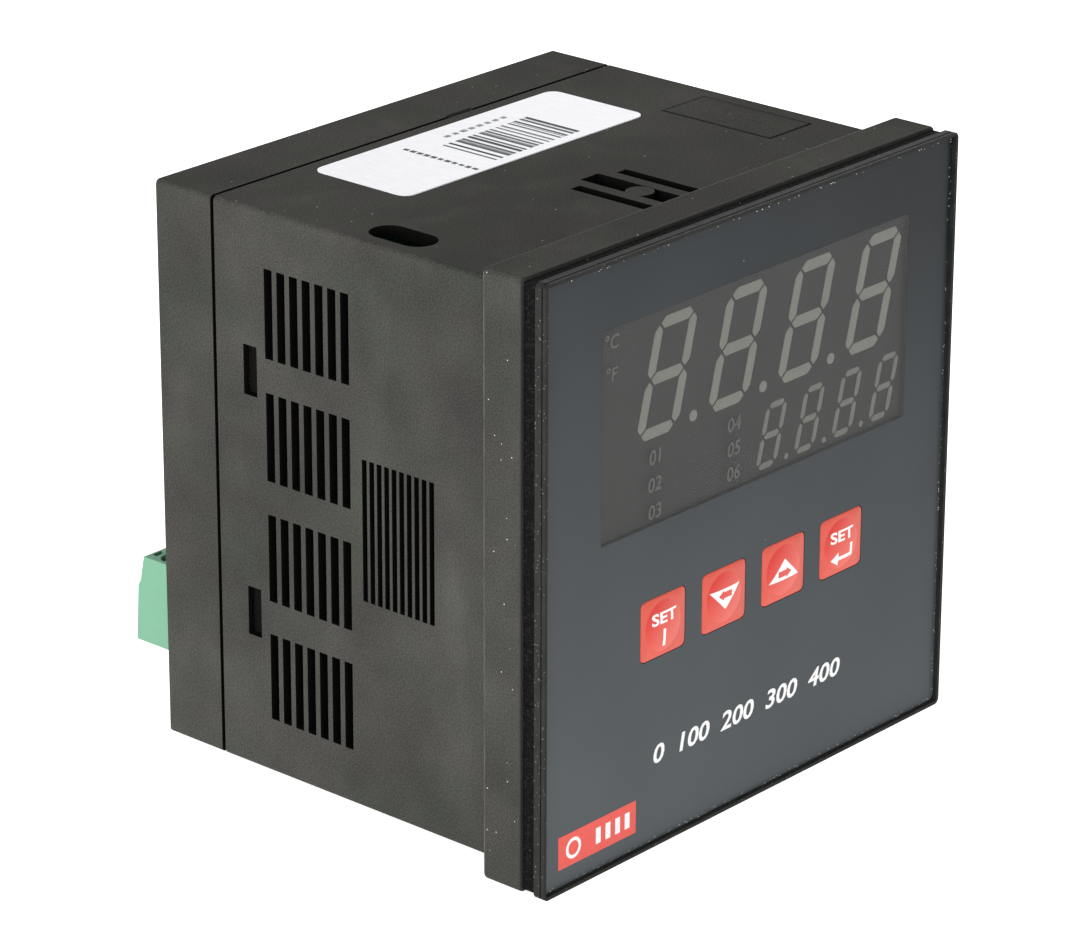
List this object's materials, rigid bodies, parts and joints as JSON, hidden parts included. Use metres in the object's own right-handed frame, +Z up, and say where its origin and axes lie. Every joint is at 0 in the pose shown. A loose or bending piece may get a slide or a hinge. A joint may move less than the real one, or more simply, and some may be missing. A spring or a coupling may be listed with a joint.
{
  "type": "pid temperature controller",
  "caption": "Panel-mounted temperature controller: square bezel with display window and push keys, vented case, slide-on clamp ring and plug-in screw terminals at the rear.",
  "frame": {"origin": "centre of the panel cut-out, on the panel's front face where the gasket seats", "axes": "+Y into the panel, +X to the right seen from the front, +Z up"},
  "size_m": [0.096, 0.0924, 0.096],
  "materials": {
    "case_plastic": "fine moulded texture, charcoal black",
    "bezel_plastic": "satin moulded, near black",
    "film_slate": "printed satin film, dark slate",
    "window_smoke": "smoked clear acrylic",
    "gasket_foam": "closed-cell foam, speckled",
    "key_red": "satin red, soft dome",
    "switch_black": "matte",
    "switch_plunger": "matte",
    "display_face": "flat, grey",
    "segment_pale": "diffusing, unlit",
    "lamp_red": "diffusing, unlit",
    "board_green": "solder mask",
    "screw_steel": "zinc plated",
    "connector_white": "matte",
    "core_steel": "laminated, varnished",
    "winding_tape": "polyester tape",
    "can_sleeve": "shrink sleeve",
    "relay_blue": "smooth",
    "fuse_glass": "clear glass with metal caps",
    "contact_tin": "tin plated",
    "varistor_coat": "epoxy coat",
    "chip_black": "matte",
    "crystal_can": "drawn can",
    "terminal_green": "moulded, mint green",
    "header_green": "moulded, green",
    "label_white": "satin paper"
  },
  "bodies": {
    "case": {"front_bezel": "bezel_plastic", "front_film": "film_slate", "display_window": "window_smoke", "panel_gasket": "gasket_foam", "main_case": "case_plastic", "rear_cover": "case_plastic", "top_label": "label_white", "tact_switches": "switch_black", "large_display": "display_face", "small_display": "display_face", "large_digits": "segment_pale", "small_digits": "segment_pale", "indicator_lamps": "lamp_red", "display_board": "board_green", "display_board_screws": "screw_steel", "power_board": "board_green", "control_board": "board_green", "terminal_board": "board_green", "terminal_board_screws": "screw_steel", "front_board_connectors": "connector_white", "rear_board_connectors": "connector_white", "transformer_core": "core_steel", "transformer_winding": "winding_tape", "mains_capacitor": "can_sleeve", "output_capacitors": "can_sleeve", "output_relay": "relay_blue", "alarm_relay": "relay_blue", "mains_fuse": "fuse_glass", "fuse_clips": "contact_tin", "varistor": "varistor_coat", "bridge_rectifier": "chip_black", "optocouplers": "chip_black", "voltage_regulator": "chip_black", "microcontroller": "chip_black", "crystal": "crystal_can", "signal_chips": "chip_black", "header_left": "header_green", "header_pins_left": "contact_tin", "header_right": "header_green", "header_pins_right": "contact_tin"},
    "clamp_ring": {"clamp_ring": "case_plastic"},
    "set_key": {"set_key": "key_red", "set_key_plunger": "switch_plunger"},
    "down_key": {"down_key": "key_red", "down_key_plunger": "switch_plunger"},
    "up_key": {"up_key": "key_red", "up_key_plunger": "switch_plunger"},
    "enter_key": {"enter_key": "key_red", "enter_key_plunger": "switch_plunger"},
    "plug_left": {"plug_left": "terminal_green", "plug_cages_left": "contact_tin", "plug_screws_left": "screw_steel", "plug_contacts_left": "contact_tin"},
    "plug_right": {"plug_right": "terminal_green", "plug_cages_right": "contact_tin", "plug_screws_right": "screw_steel", "plug_contacts_right": "contact_tin"}
  },
  "joints": [
    {"name": "clamp_ring_slide", "type": "slide", "parent": "case", "child": "clamp_ring", "axis": [0, 1, 0], "range_m": [0, 0.09]},
    {"name": "set_key_press", "type": "slide", "parent": "case", "child": "set_key", "axis": [0, 1, 0], "range_m": [0, 0.0003], "stiffness_N_per_m": 6000},
    {"name": "down_key_press", "type": "slide", "parent": "case", "child": "down_key", "axis": [0, 1, 0], "range_m": [0, 0.0003], "stiffness_N_per_m": 6000},
    {"name": "up_key_press", "type": "slide", "parent": "case", "child": "up_key", "axis": [0, 1, 0], "range_m": [0, 0.0003], "stiffness_N_per_m": 6000},
    {"name": "enter_key_press", "type": "slide", "parent": "case", "child": "enter_key", "axis": [0, 1, 0], "range_m": [0, 0.0003], "stiffness_N_per_m": 6000},
    {"name": "plug_left_pull", "type": "slide", "parent": "case", "child": "plug_left", "axis": [0, 1, 0], "range_m": [0, 0.012]},
    {"name": "plug_right_pull", "type": "slide", "parent": "case", "child": "plug_right", "axis": [0, 1, 0], "range_m": [0, 0.012]}
  ]
}
